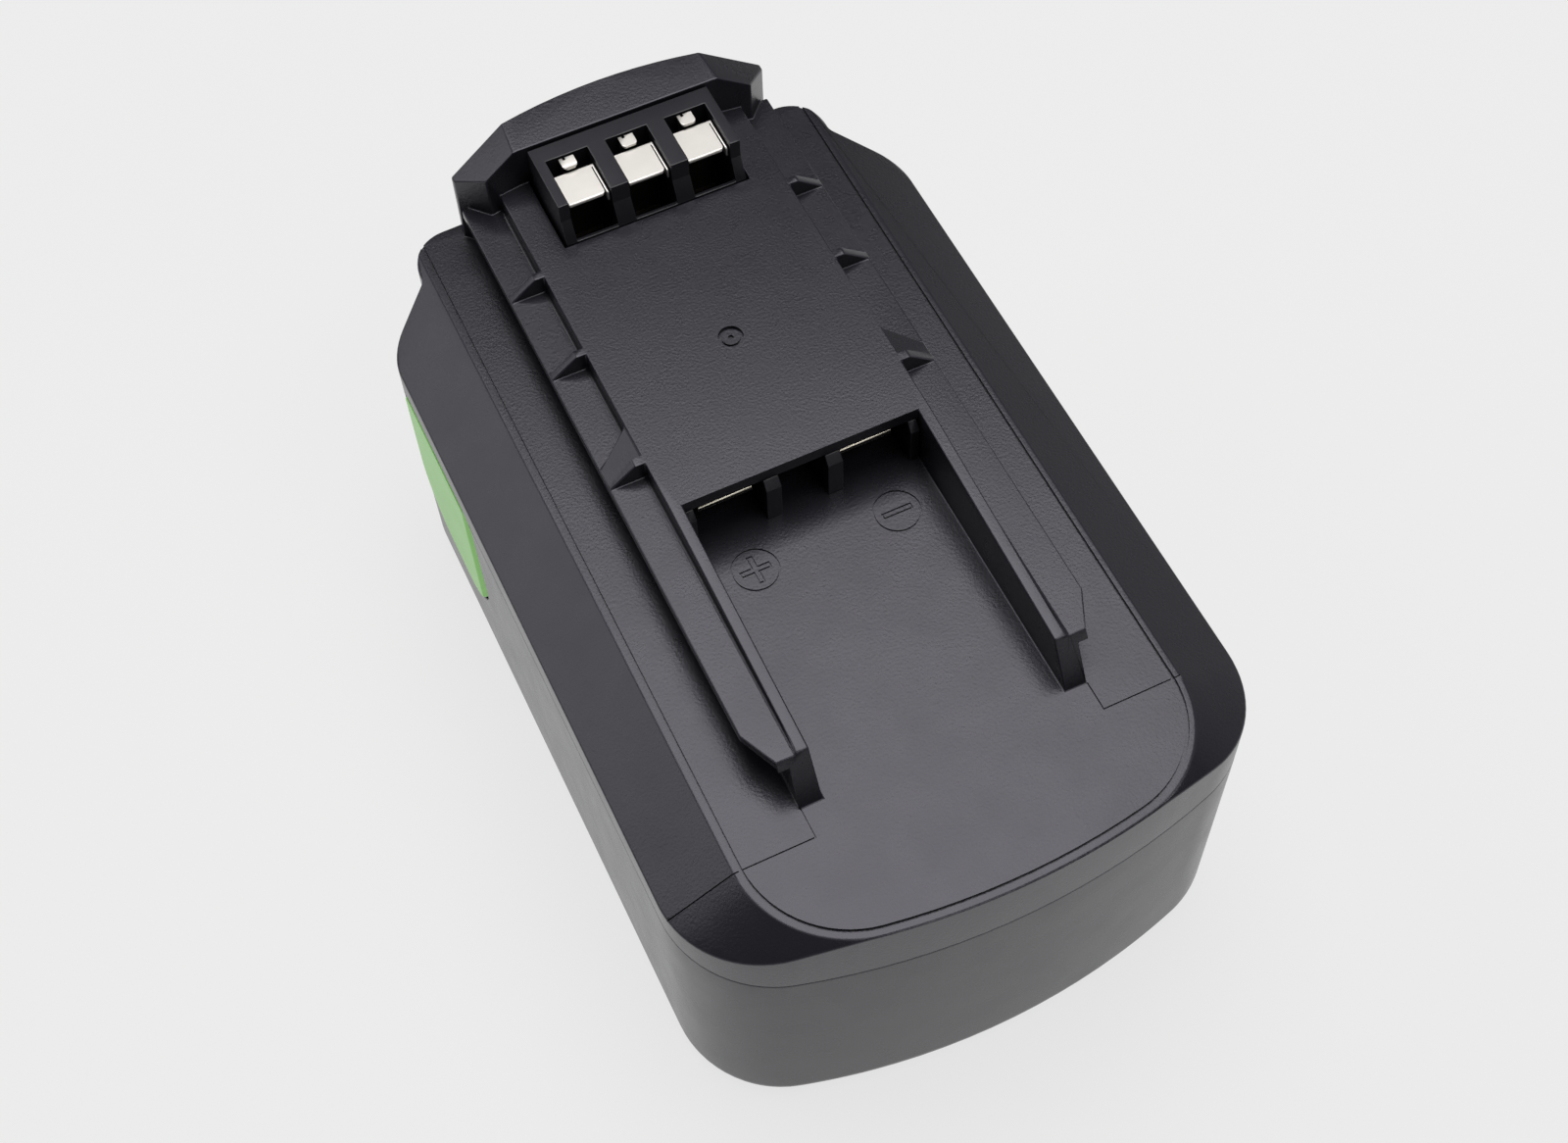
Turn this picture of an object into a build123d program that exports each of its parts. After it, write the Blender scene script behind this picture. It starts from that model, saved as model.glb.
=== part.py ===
from build123d import *
import math
import os

# Slide-on battery pack for a cordless power tool, in millimetres
# X runs to the right, Y to the rear, Z up, and the origin is under the middle of the pack
# The bowed nose faces -Y, and the raised hood over the signal terminals stands at the rear

overrun = 1.0
fit_gap = 0.15

# Case outline, seen from above
nose_room = 10.85
tail_room = 14.25
side_room = 3.05
hood_overhang = 1.5
nose_bow_radius = 98.0
front_corner_radius = 15.0
tail_length = 16.8
shoulder_radius = 8.0
shoulder_turn = 49.5
tail_step = 7.75
tail_corner_radius = 5.5
notch_radius = 1.2

# Case heights and walls
case_wall = 2.2
floor_thickness = 2.4
deck_thickness = 2.2
cover_depth = 9.25
board_room = 1.95
wall_draft = 0.5
foot_radius = 4.0
label_length = 62.0
label_width = 44.0
label_depth = 0.3
label_corner_radius = 3.0

# Bevelled border of the deck
bevel_breadth = 9.75
deck_line_corner_radius = 14.0
deck_line_from_nose = 1.1
border_width = 0.95
bevel_angle = 28.75
line_groove_width = 0.45
line_groove_depth = 0.4

# Rails and island
island_front_from_rear = 62.6
island_rise = 9.25
bay_width = 32.1
web_thickness = 2.95
rail_width = 45.1
rail_thickness = 1.4
rail_rise = 6.41
island_width = 35.2
island_plate = 2.0
flank_radius = 0.5
ridge_tip_rise = 0.19
arm_top_length = 35.3
arm_foot_length = 38.9
arm_corner_length = 5.0
arm_corner_width = 2.3
witness_step = 4.0
witness_width = 0.18
witness_depth = 0.25

# Ribs on the flanks of the island
rib_distances = [7.6, 26.2, 40.1]
rib_thickness = 1.2
rib_flat = 1.3
ramp_length_inner = 6.0
ramp_length_outer = 2.0

# Polarity marks and moulding mark
mark_distance = 7.0
mark_offset = 9.8
mark_radius = 3.0
mark_line = 0.22
mark_depth = 0.2
mark_bar_length = 3.7
mark_bar_width = 0.45
gate_distance = 20.6
gate_radius = 1.65
gate_depth = 0.45
gate_disc_radius = 1.2
gate_disc_sink = 0.15
gate_pin_radius = 0.35

# Hood behind the terminals
hood_front_distance = 56.0
hood_cheek_distance = 55.3
hood_wing_distance = 59.0
hood_back_distance = 60.0
hood_corner_distance = 61.2
hood_top_width = 28.2
hood_cheek_width = 38.3
hood_front_rise = 6.4
hood_rear_rise = 6.8
hood_wing_rise = 1.6
hood_wall = 1.8

# Terminal block and its pocket
pocket_width = 26.5
pocket_distance = 43.4
block_width = 25.8
block_front_distance = 45.0
block_rear_distance = 55.7
block_rise = 6.0
block_facet = 2.9
block_floor = 2.0
sill_thickness = 0.6
terminal_width = 5.9
terminal_pitch = 8.45
terminal_depth = 8.0

# Signal contacts
contact_sheet = 0.4
contact_setback = 0.4
contact_width = 5.5
contact_plate_width = 5.1
contact_length = 5.4
contact_drop = 1.0
contact_strip_width = 0.25
contact_strip_height = 1.5
contact_tab_width = 2.1
contact_tab_length = 1.9
contact_tab_gap = 0.1
contact_tab_rise = 0.75
contact_notch_width = 0.35
contact_notch_depth = 0.4
contact_pin_width = 0.9

# Power contacts and their carrier
blade_width = 7.3
blade_thickness = 0.8
blade_drop = 4.1
blade_offset = 9.6
blade_shift = -0.5
blade_front_distance = 0.7
blade_length = 15.3
blade_edge = 0.15
leg_width = 5.0
carrier_proud = 1.0
carrier_facet = 1.2
carrier_rear_distance = 14.0
carrier_wall = 2.0
carrier_rib_width = 2.1
carrier_middle_width = 6.35
carrier_cheek = 1.25
leg_opening_distance = 11.5
leg_opening_length = 9.0

# Cells and their holders
cell_radius = 9.2
cell_length = 65.0
cell_cap_radius = 4.0
cell_cap_height = 0.7
cell_edge_radius = 0.6
cell_groove_width = 1.2
cell_groove_depth = 0.35
cell_groove_setback = 3.6
cell_spacing = 0.7
row_spacing = 0.5
cell_columns = 5
cell_rows = 2
ring_radius = 8.4
ring_hole_radius = 4.5
ring_thickness = 0.2
foam_thickness = 0.6
holder_wall = 0.5
holder_depth = 8.5
holder_notch_width = 6.4
holder_notch_depth = 3.8
cell_gap = 0.05

# Welded strips and insulation
strip_thickness = 0.2
strip_margin = 4.5
strip_slot_width = 2.0
strip_tab_width = 4.0
strip_tab_reach = 5.0
sheet_thickness = 0.3
sheet_margin = 3.0

# Circuit board and what it carries
board_thickness = 1.4
board_side_room = 8.55
board_front_inset = 1.95
board_rear_distance = 47.0
board_tail_width = 34.0
board_tail_distance = 56.0
board_window_gap = 0.9
lead_thickness = 0.4
transistor_count = 4
transistor_size = 6.0
transistor_height = 1.2
transistor_tab_length = 1.2
transistor_tab_width = 3.0
transistor_pitch = 9.0
transistor_distance = -26.0
shunt_length = 12.0
shunt_width = 4.0
shunt_thickness = 0.8
shunt_distance = -12.0
chip_size = 9.0
chip_lead_count = 8
chip_lead_reach = 1.2
chip_height = 1.2
chip_distance = -2.0
chip_offset = -18.0
capacitor_count = 6
capacitor_length = 3.2
capacitor_width = 1.6
capacitor_height = 1.0
capacitor_pitch = 4.5
capacitor_distance = -11.25
capacitor_offset = 20.0
thermistor_radius = 1.2
thermistor_length = 6.0

# Screws and screw posts
front_post_inset = 16.05
front_post_setback = 7.4
rear_post_inset = 6.5
rear_post_setback = 7.1
post_radius = 3.4
top_post_radius = 3.0
head_well_radius = 2.7
head_seat_depth = 7.0
case_screw_head_radius = 2.4
case_screw_head_height = 1.8
case_screw_radius = 1.2
case_screw_length = 12.0
screw_recess_radius = 1.3
screw_recess_depth = 0.9
board_screw_head_radius = 1.9
board_screw_head_height = 1.0
board_screw_radius = 0.8
board_screw_length = 4.2
board_screw_slot_width = 0.65
board_screw_inset = 1.5
board_screw_columns = [0.5, 2.5]
pilot_gap = 0.1
seal_width = 0.8
seal_height = 0.8

# Release buttons, latch slides and springs
button_front_distance = 21.0
button_rear_distance = 44.9
button_below_seam = 24.5
button_lower_radius = 9.0
button_upper_radius = 1.5
button_proud = 0.1
button_gap = 0.3
button_travel = 1.8
button_skin = 1.6
button_facet_length = 2.6
button_facet_depth = 1.5
lip_margin = 0.5
lip_thickness = 0.75
lip_gap = 0.2
tab_drop = 0.6
slide_column = 3.5
slide_width = 5.0
slide_lift = 0.6
slide_board_gap = 0.5
slide_post_thickness = 2.2
slide_rail_gap = 1.16
slide_gap = 0.35
latch_reach = 1.6
latch_height = 2.8
latch_lead = 0.9
spring_radius = 1.35
spring_wire_radius = 0.22
spring_turns = 5
spring_length = 8.0
spring_seat_gap = 0.05
spring_lift = 1.1
stop_thickness = 1.2

# Places that follow from the sizes above
bore_radius = cell_radius + cell_gap
cell_pitch = 2 * bore_radius + cell_spacing
row_pitch = 2 * bore_radius + row_spacing
holder_length = (cell_columns - 1) * cell_pitch + 2 * (bore_radius + holder_wall)
pack_length = nose_room + holder_length + tail_room
nose_y = -pack_length / 2
pack_rear_y = pack_length / 2
rear_wall_y = pack_rear_y - hood_overhang
shoulder_y = rear_wall_y - tail_length
island_front_y = pack_rear_y - island_front_from_rear
holder_front_y = nose_y + nose_room
first_cell_y = holder_front_y + holder_wall + bore_radius
slide_y = first_cell_y + slide_column * cell_pitch
slope = math.tan(math.radians(bevel_angle))
side_inner_x = cell_length / 2 + strip_thickness + sheet_thickness + side_room
case_width = 2 * (side_inner_x + case_wall)
tail_width = case_width - 2 * tail_step
deck_line_width = case_width - 2 * bevel_breadth
bay_half = bay_width / 2
web_outer_x = bay_half + web_thickness
holder_bottom = floor_thickness + foam_thickness
low_row_height = holder_bottom + holder_wall + bore_radius
holder_top = low_row_height + (cell_rows - 1) * row_pitch + bore_radius + holder_wall
board_bottom = holder_top + strip_thickness
board_top = board_bottom + board_thickness
board_half = side_inner_x - board_side_room
board_screw_x = board_half - board_screw_inset
board_screw_places = [first_cell_y + column * cell_pitch for column in board_screw_columns]
deck_underside = board_top + board_room
deck_height = deck_underside + deck_thickness
seam_height = deck_height - cover_depth
island_height = deck_height + island_rise
rail_top_height = deck_height + rail_rise
rail_bottom_height = rail_top_height - rail_thickness
ridge_front_height = rail_top_height + ridge_tip_rise
hood_top_front_height = island_height + hood_front_rise
hood_top_rear_height = island_height + hood_rear_rise
hood_wing_height = island_height + hood_wing_rise
block_height = island_height + block_rise
blade_height = island_height - blade_drop
head_seat_height = seam_height - head_seat_depth
button_bottom_height = seam_height - button_below_seam
button_top_height = seam_height
slide_bottom_height = holder_top - holder_notch_depth + slide_lift
slide_top_height = board_bottom - slide_board_gap
slide_post_height = rail_bottom_height - slide_rail_gap
spring_height = slide_bottom_height + spring_lift
lip_outer_x = side_inner_x - lip_gap
lip_inner_x = lip_outer_x - lip_thickness
post_outer_x = bay_half - slide_gap
post_inner_x = post_outer_x - slide_post_thickness
stop_x = post_inner_x - spring_length
sides = {"left": -1, "right": 1}


def on_island(distance):
    """Y of a place measured rearward from the front edge of the island."""
    return island_front_y + distance


def box_between(x_range, y_range, z_range):
    """Box between two corners, each given as a pair of limits on an axis."""
    spans = [high - low for low, high in (x_range, y_range, z_range)]
    middles = [(high + low) / 2 for low, high in (x_range, y_range, z_range)]
    return Pos(*middles) * Box(*spans)


def flipped(shape):
    """Mirror image of a shape on the other side of the pack."""
    return mirror(shape, about=Plane.YZ)


def both_sides(shape):
    """A shape of the right side together with its mirror image."""
    return shape + flipped(shape)


def on_side(shape, side):
    """A shape made for the right side, moved to the named side."""
    return shape if sides[side] > 0 else flipped(shape)


def profile_along_y(points, y_start, y_end):
    """Prism with an XZ outline that runs from y_start to y_end."""
    face = make_face(Polyline(*[(x, 0, z) for x, z in points], close=True))
    return Pos(0, y_start, 0) * extrude(face, amount=y_end - y_start, dir=(0, 1, 0))


def profile_along_x(points, x_start, x_end):
    """Prism with a YZ outline that runs from x_start to x_end."""
    face = make_face(Polyline(*[(0, y, z) for y, z in points], close=True))
    return Pos(x_start, 0, 0) * extrude(face, amount=x_end - x_start, dir=(1, 0, 0))


def nose_edges(half_width, front_y, bow_radius, corner_radius, end_y):
    """Right half of an outline: the slow bow, the round corner and the straight side."""
    bow_centre = Vector(0, front_y + bow_radius)
    corner_x = half_width - corner_radius
    corner_reach = bow_radius - corner_radius
    corner = Vector(corner_x, bow_centre.Y - math.sqrt(corner_reach ** 2 - corner_x ** 2))
    outward = (corner - bow_centre).normalized()
    bow_middle = bow_centre + (outward + Vector(0, -1)).normalized() * bow_radius
    blend = bow_centre + outward * bow_radius
    corner_middle = corner + (outward + Vector(1, 0)).normalized() * corner_radius
    side_start = corner + Vector(corner_radius, 0)
    return [
        ThreePointArc((0, front_y), bow_middle, blend),
        ThreePointArc(blend, corner_middle, side_start),
        Line(side_start, (half_width, end_y)),
    ]


def mirrored_face(edges):
    """Face inside a half outline and its mirror image."""
    half = Curve() + edges
    return make_face(half + mirror(half, about=Plane.YZ))


def case_face(inset=0):
    """Outline of the case, drawn in by an inset."""
    half_width = case_width / 2 - inset
    bow_radius = nose_bow_radius - inset
    corner_radius = front_corner_radius - inset
    edges = nose_edges(half_width, nose_y + inset, bow_radius, corner_radius, shoulder_y)
    turn = math.radians(shoulder_turn)
    away = Vector(math.cos(turn), math.sin(turn))
    half_away = Vector(math.cos(turn / 2), math.sin(turn / 2))
    along = Vector(-math.sin(turn), math.cos(turn))
    shoulder = Vector(case_width / 2 - shoulder_radius, shoulder_y)
    round_radius = shoulder_radius - inset
    shoulder_end = shoulder + away * round_radius
    tail_half = tail_width / 2 - inset
    notch = shoulder_end + along * ((shoulder_end.X - tail_half) / math.sin(turn))
    bend = notch_radius + inset
    reach = bend * math.tan(turn / 2)
    notch_start = notch - along * reach
    notch_end = notch + Vector(0, reach)
    notch_middle = notch_start + away * bend - half_away * bend
    corner = Vector(tail_width / 2 - tail_corner_radius, rear_wall_y - tail_corner_radius)
    tail_radius = tail_corner_radius - inset
    corner_start = corner + Vector(tail_radius, 0)
    corner_end = corner + Vector(0, tail_radius)
    corner_middle = corner + Vector(1, 1).normalized() * tail_radius
    edges += [
        ThreePointArc((half_width, shoulder_y), shoulder + half_away * round_radius, shoulder_end),
        Line(shoulder_end, notch_start),
        ThreePointArc(notch_start, notch_middle, notch_end),
        Line(notch_end, corner_start),
        ThreePointArc(corner_start, corner_middle, corner_end),
        Line(corner_end, (0, corner_end.Y)),
    ]
    return mirrored_face(edges)


def deck_face(grow):
    """Outline of the engraved deck line, grown outward and open towards the tail."""
    half_width = deck_line_width / 2 + grow
    front_y = nose_y + deck_line_from_nose - grow
    corner_radius = deck_line_corner_radius + grow
    end_y = pack_rear_y + overrun
    edges = nose_edges(half_width, front_y, nose_bow_radius + grow, corner_radius, end_y)
    edges.append(Line((half_width, end_y), (0, end_y)))
    return mirrored_face(edges)


def bevel_body(sink=0):
    """Solid under the deck whose sides slope down and outward from the border."""
    drop = deck_height - seam_height + overrun
    top = Pos(0, 0, deck_height - sink) * deck_face(border_width)
    foot = Pos(0, 0, deck_height - drop - sink) * deck_face(border_width + drop / slope)
    return loft([foot, top], ruled=True)


def case_block(bottom, top, inset=0):
    """Upright block with the case outline between two heights."""
    return Pos(0, 0, bottom) * extrude(case_face(inset), amount=top - bottom)


def post_places():
    """Middles of the four screw posts."""
    front = (side_inner_x - front_post_inset, nose_y + front_post_setback)
    rear = (tail_width / 2 - rear_post_inset, rear_wall_y - rear_post_setback)
    return [(side * x, y) for side in sides.values() for x, y in (front, rear)]


def button_outline(grow):
    """Outline of the right button on the side wall, grown outward."""
    front_y = on_island(button_front_distance) - grow
    rear_y = on_island(button_rear_distance) + grow
    bottom = button_bottom_height - grow
    top = button_top_height + grow
    corners = [(0, front_y, bottom), (0, rear_y, bottom), (0, rear_y, top), (0, front_y, top)]
    face = make_face(Polyline(*corners, close=True))
    middle_z = (bottom + top) / 2
    lower_corners = [corner for corner in face.vertices() if corner.Z < middle_z]
    face = fillet(lower_corners, button_lower_radius + grow)
    upper_corners = [corner for corner in face.vertices() if corner.Z > top - button_upper_radius]
    return fillet(upper_corners, button_upper_radius + grow)


def button_prism(grow, x_start, x_end):
    """Prism of the right button's outline between two places along X."""
    return Pos(x_start, 0, 0) * extrude(button_outline(grow), amount=x_end - x_start, dir=(1, 0, 0))


def button_opening():
    """Hole in both side walls around the buttons."""
    return both_sides(button_prism(button_gap, side_inner_x - overrun, case_width / 2 + overrun))


def make_lower_case():
    """Tub that holds the cells, with a rounded foot and four screw posts."""
    outside = Pos(0, 0, seam_height) * extrude(case_face(), amount=-seam_height, taper=wall_draft)
    outside = fillet(outside.faces().sort_by(Axis.Z)[0].edges(), foot_radius)
    tub = outside - case_block(floor_thickness, seam_height + overrun, case_wall)
    groove_outer = case_block(seam_height - seal_height, seam_height + overrun, (case_wall - seal_width) / 2)
    groove_inner = case_block(seam_height - seal_height, seam_height + overrun, (case_wall + seal_width) / 2)
    tub -= groove_outer - groove_inner
    room = case_block(floor_thickness / 2, seam_height, case_wall)
    for x, y in post_places():
        post = Pos(x, y, seam_height / 2) * Cylinder(post_radius, seam_height)
        tub += post & room
    for x, y in post_places():
        tub -= Pos(x, y, head_seat_height / 2) * Cylinder(head_well_radius, head_seat_height)
        tub -= Pos(x, y, seam_height / 2) * Cylinder(case_screw_radius + pilot_gap, seam_height + overrun)
    label = extrude(RectangleRounded(label_width, label_length, label_corner_radius), amount=label_depth)
    return tub - label - button_opening()


def rail_profile():
    """Cross-section of the right web, rail and ridge."""
    ridge_x = island_width / 2
    points = [
        (bay_half, deck_height - deck_thickness / 2),
        (web_outer_x, deck_height - deck_thickness / 2),
        (web_outer_x, rail_bottom_height),
        (rail_width / 2, rail_bottom_height),
        (rail_width / 2, rail_top_height),
        (ridge_x, rail_top_height),
        (ridge_x, island_height),
        (bay_half, island_height),
    ]
    return points


def arm_trim():
    """What is cut off the front ends of the rails: the tip slope, the ridge slope and a corner."""
    tip_y = on_island(-arm_foot_length)
    top_y = on_island(-arm_top_length)
    lean = (arm_foot_length - arm_top_length) / (rail_top_height - deck_height)
    high_y = top_y + lean * (island_height - rail_top_height + overrun)
    tip = profile_along_x(
        [
            (tip_y - overrun, deck_height),
            (tip_y, deck_height),
            (high_y, island_height + overrun),
            (tip_y - overrun, island_height + overrun),
        ],
        bay_half - overrun,
        rail_width / 2 + overrun,
    )
    ridge = profile_along_x(
        [
            (top_y - overrun, ridge_front_height),
            (top_y, ridge_front_height),
            (on_island(0), island_height),
            (on_island(0), island_height + overrun),
            (top_y - overrun, island_height + overrun),
        ],
        bay_half - overrun,
        rail_width / 2,
    )
    outer_x = rail_width / 2
    corner = make_face(
        Polyline(
            (outer_x - arm_corner_width, top_y),
            (outer_x, top_y + arm_corner_length),
            (outer_x + overrun, top_y + arm_corner_length),
            (outer_x + overrun, tip_y - overrun),
            (outer_x - arm_corner_width, tip_y - overrun),
            close=True,
        )
    )
    return tip + ridge + Pos(0, 0, deck_height) * extrude(corner, amount=island_height - deck_height)


def flank_ribs():
    """Gussets on the right flank of the island, the front one with a ramp behind it."""
    ridge_x = island_width / 2
    outer_x = rail_width / 2
    low = rail_top_height - rail_thickness / 2
    outline = [
        (ridge_x - overrun, low),
        (outer_x, low),
        (outer_x, rail_top_height),
        (ridge_x + rib_flat, island_height),
        (ridge_x - overrun, island_height),
    ]
    ribs = flank_ramp()
    for distance in rib_distances:
        front = on_island(distance)
        ribs += profile_along_y(outline, front, front + rib_thickness)
    return ribs


def flank_ramp():
    """Sloped web between the front rib and the island, wide at the island and narrow at the rail's edge."""
    ridge_x = island_width / 2
    outer_x = rail_width / 2
    start = on_island(rib_distances[0] + rib_thickness)
    low = rail_top_height - rail_thickness / 2
    near = make_face(
        Polyline(
            (ridge_x - overrun, start, low),
            (ridge_x - overrun, start + ramp_length_inner, low),
            (ridge_x - overrun, start + ramp_length_inner, island_height),
            (ridge_x - overrun, start, island_height),
            close=True,
        )
    )
    far = make_face(
        Polyline(
            (outer_x, start, low),
            (outer_x, start + ramp_length_outer, low),
            (outer_x, start + ramp_length_outer, rail_top_height),
            (outer_x, start, rail_top_height),
            close=True,
        )
    )
    return loft([near, far], ruled=True)


def hood_body():
    """Hood behind the terminals: a flat top, two sloping cheeks and a bowed rear edge."""
    top_half = hood_top_width / 2
    cheek_half = hood_cheek_width / 2
    outer_x = rail_width / 2
    front_y = on_island(hood_front_distance)
    corner_y = on_island(hood_corner_distance)
    half = Curve() + [
        Line((0, front_y), (top_half, front_y)),
        Line((top_half, front_y), (cheek_half, on_island(hood_cheek_distance))),
        Line((cheek_half, on_island(hood_cheek_distance)), (outer_x, on_island(hood_wing_distance))),
        Line((outer_x, on_island(hood_wing_distance)), (outer_x, on_island(hood_back_distance))),
        Line((outer_x, on_island(hood_back_distance)), (top_half, corner_y)),
    ]
    rear_arc = ThreePointArc((top_half, corner_y), (0, pack_rear_y), (-top_half, corner_y))
    base = make_face(half + mirror(half, about=Plane.YZ) + rear_arc)
    foot = deck_height - deck_thickness / 2
    body = Pos(0, 0, foot) * extrude(base, amount=hood_top_rear_height - foot + overrun)
    cheek_slope = (hood_top_rear_height - hood_wing_height) / (outer_x - top_half)
    far_x = outer_x + overrun
    far_z = hood_wing_height - cheek_slope * overrun
    above = hood_top_rear_height + overrun * 2
    tip_y = on_island(hood_cheek_distance)
    cheek = profile_along_y(
        [(top_half, hood_top_rear_height), (far_x, far_z), (far_x, above), (top_half, above)],
        tip_y - overrun,
        pack_rear_y + overrun,
    )
    rise = (hood_top_rear_height - hood_top_front_height) / (pack_rear_y - front_y)
    top_cut = profile_along_x(
        [
            (tip_y, hood_top_front_height - rise * (front_y - tip_y)),
            (pack_rear_y + overrun, hood_top_rear_height + rise * overrun),
            (pack_rear_y + overrun, above),
            (tip_y, above),
        ],
        -far_x,
        far_x,
    )
    room = box_between(
        (-top_half + hood_wall, top_half - hood_wall),
        (front_y + hood_wall, rear_wall_y - hood_wall),
        (foot - overrun, hood_top_front_height - hood_wall),
    )
    return body - both_sides(cheek) - top_cut - room


def deck_marks():
    """Grooves in the top: the border line, the slide witness lines, the polarity and moulding marks."""
    groove_bottom = deck_height - line_groove_depth
    line = extrude(deck_face(line_groove_width / 2), amount=line_groove_depth + overrun)
    line -= extrude(deck_face(-line_groove_width / 2), amount=line_groove_depth + overrun)
    grooves = Pos(0, 0, groove_bottom) * line
    tip_y = on_island(-arm_foot_length)
    witness_y = tip_y - witness_step
    short_line = box_between(
        (web_outer_x - witness_width / 2, web_outer_x + witness_width / 2),
        (witness_y, tip_y),
        (deck_height - witness_depth, deck_height + overrun),
    )
    border_x = deck_line_width / 2 + border_width
    line_range = (witness_y - witness_width / 2, witness_y + witness_width / 2)
    long_line = box_between(
        (web_outer_x - witness_width / 2, border_x),
        line_range,
        (deck_height - witness_depth, deck_height + overrun),
    )
    rim_x = case_width / 2 + overrun
    rim_z = deck_height - slope * (rim_x - border_x)
    bevel_line = profile_along_y(
        [
            (border_x, deck_height - witness_depth),
            (rim_x, rim_z - witness_depth),
            (rim_x, deck_height + overrun),
            (border_x, deck_height + overrun),
        ],
        *line_range,
    )
    grooves += both_sides(short_line + long_line) + flipped(bevel_line)
    for side in sides.values():
        mark = Circle(mark_radius + mark_line / 2) - Circle(mark_radius - mark_line / 2)
        mark += polarity_face(side, mark_line) - polarity_face(side, 0)
        place = Pos(side * mark_offset, on_island(-mark_distance), deck_height - mark_depth)
        grooves += place * extrude(mark, amount=mark_depth + overrun)
    return grooves + moulding_mark()


def polarity_face(side, grow):
    """Outline of the plus on the left or the minus on the right, grown outward."""
    length = mark_bar_length + 2 * grow
    width = mark_bar_width + 2 * grow
    minus = Rectangle(length, width)
    return minus if side > 0 else minus + Rectangle(width, length)


def moulding_mark():
    """Round groove on the island with a sunk disc and a pin hole in it, left by the mould."""
    sketch = Circle(gate_radius) - Circle(gate_disc_radius)
    groove = extrude(sketch, amount=gate_depth, both=True)
    groove += extrude(Circle(gate_disc_radius), amount=gate_disc_sink, both=True)
    groove += extrude(Circle(gate_pin_radius), amount=gate_depth, both=True)
    return Pos(0, on_island(gate_distance), island_height) * groove


def deck_openings():
    """Holes through the deck for contact legs, signal pins and latch posts."""
    low = deck_underside - overrun
    height_range = (low, deck_height + overrun)
    legs = box_between(
        (-blade_offset - leg_width, blade_offset + leg_width),
        (on_island(leg_opening_distance), on_island(leg_opening_distance + leg_opening_length)),
        height_range,
    )
    pin_x, pin_y = contact_pin_place(terminal_pitch)
    pin_room = contact_pin_width / 2 + slide_gap
    pins = box_between(
        (-pin_x - pin_room, pin_x + pin_room),
        (pin_y - pin_room, pin_y + pin_room),
        height_range,
    )
    y_range = slide_y_range(slide_gap)
    posts = box_between((post_inner_x - button_travel - slide_gap, bay_half), y_range, height_range)
    windows = box_between(
        (bay_half - overrun, web_outer_x + overrun),
        y_range,
        (slide_post_height - latch_height - slide_gap, slide_post_height + slide_gap),
    )
    return legs + pins + both_sides(posts + windows)


def make_upper_case():
    """Cover with the bevelled deck, rails, island, hood and all openings."""
    shell = case_block(seam_height, deck_height) & bevel_body()
    upright_wall = deck_thickness / math.cos(math.radians(bevel_angle))
    room = case_block(seam_height - overrun, deck_underside, case_wall) & bevel_body(upright_wall)
    cover = shell - room
    rails_rear_y = on_island(hood_front_distance + hood_wall)
    rails = profile_along_y(rail_profile(), on_island(-arm_foot_length), rails_rear_y)
    inner_edge = [
        edge
        for edge in rails.edges().filter_by(Axis.Y)
        if abs(edge.center().X - island_width / 2) < fit_gap
        and abs(edge.center().Z - rail_top_height) < fit_gap
    ]
    rails = fillet(inner_edge, flank_radius)
    rails = rails - arm_trim() + flank_ribs()
    island = box_between(
        (-bay_half, bay_half),
        (on_island(0), on_island(hood_front_distance + hood_wall)),
        (island_height - island_plate, island_height),
    )
    cover += both_sides(rails) + island + hood_body()
    cover -= box_between(
        (-pocket_width / 2, pocket_width / 2),
        (on_island(pocket_distance), on_island(hood_front_distance)),
        (island_height - island_plate - overrun, island_height + overrun),
    )
    for x, y in post_places():
        post = Cylinder(top_post_radius, deck_height - seam_height)
        post = Pos(x, y, (seam_height + deck_height) / 2) * post
        cover += post & shell
        depth = case_screw_length + pilot_gap
        cover -= Pos(x, y, head_seat_height + depth / 2) * Cylinder(case_screw_radius, depth)
    stop = box_between(
        (stop_x - stop_thickness, stop_x),
        slide_y_range(0),
        (slide_bottom_height, deck_underside + deck_thickness / 2),
    )
    cover += both_sides(stop)
    return cover - (deck_openings() + deck_marks() + button_opening())


def make_case_seal():
    """Rubber cord in the groove of the seam."""
    outer = case_block(seam_height - seal_height, seam_height, (case_wall - seal_width) / 2)
    inner = case_block(seam_height - seal_height, seam_height, (case_wall + seal_width) / 2)
    return outer - inner - button_opening()


def make_case_screws():
    """Four screws driven up through the posts."""
    screws = []
    for x, y in post_places():
        head = Cylinder(case_screw_head_radius, case_screw_head_height)
        head = Pos(0, 0, -case_screw_head_height / 2) * head
        shank = Pos(0, 0, case_screw_length / 2) * Cylinder(case_screw_radius, case_screw_length)
        recess = Pos(0, 0, -case_screw_head_height + screw_recess_depth / 2) * extrude(
            RegularPolygon(screw_recess_radius, 6), amount=screw_recess_depth / 2, both=True
        )
        screws.append(Pos(x, y, head_seat_height) * (head + shank - recess))
    return Compound(children=screws)


def cell_places():
    """Middles of the ten cells, as Y and Z, front column first and lower row first."""
    return [
        (first_cell_y + column * cell_pitch, low_row_height + row * row_pitch)
        for column in range(cell_columns)
        for row in range(cell_rows)
    ]


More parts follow.
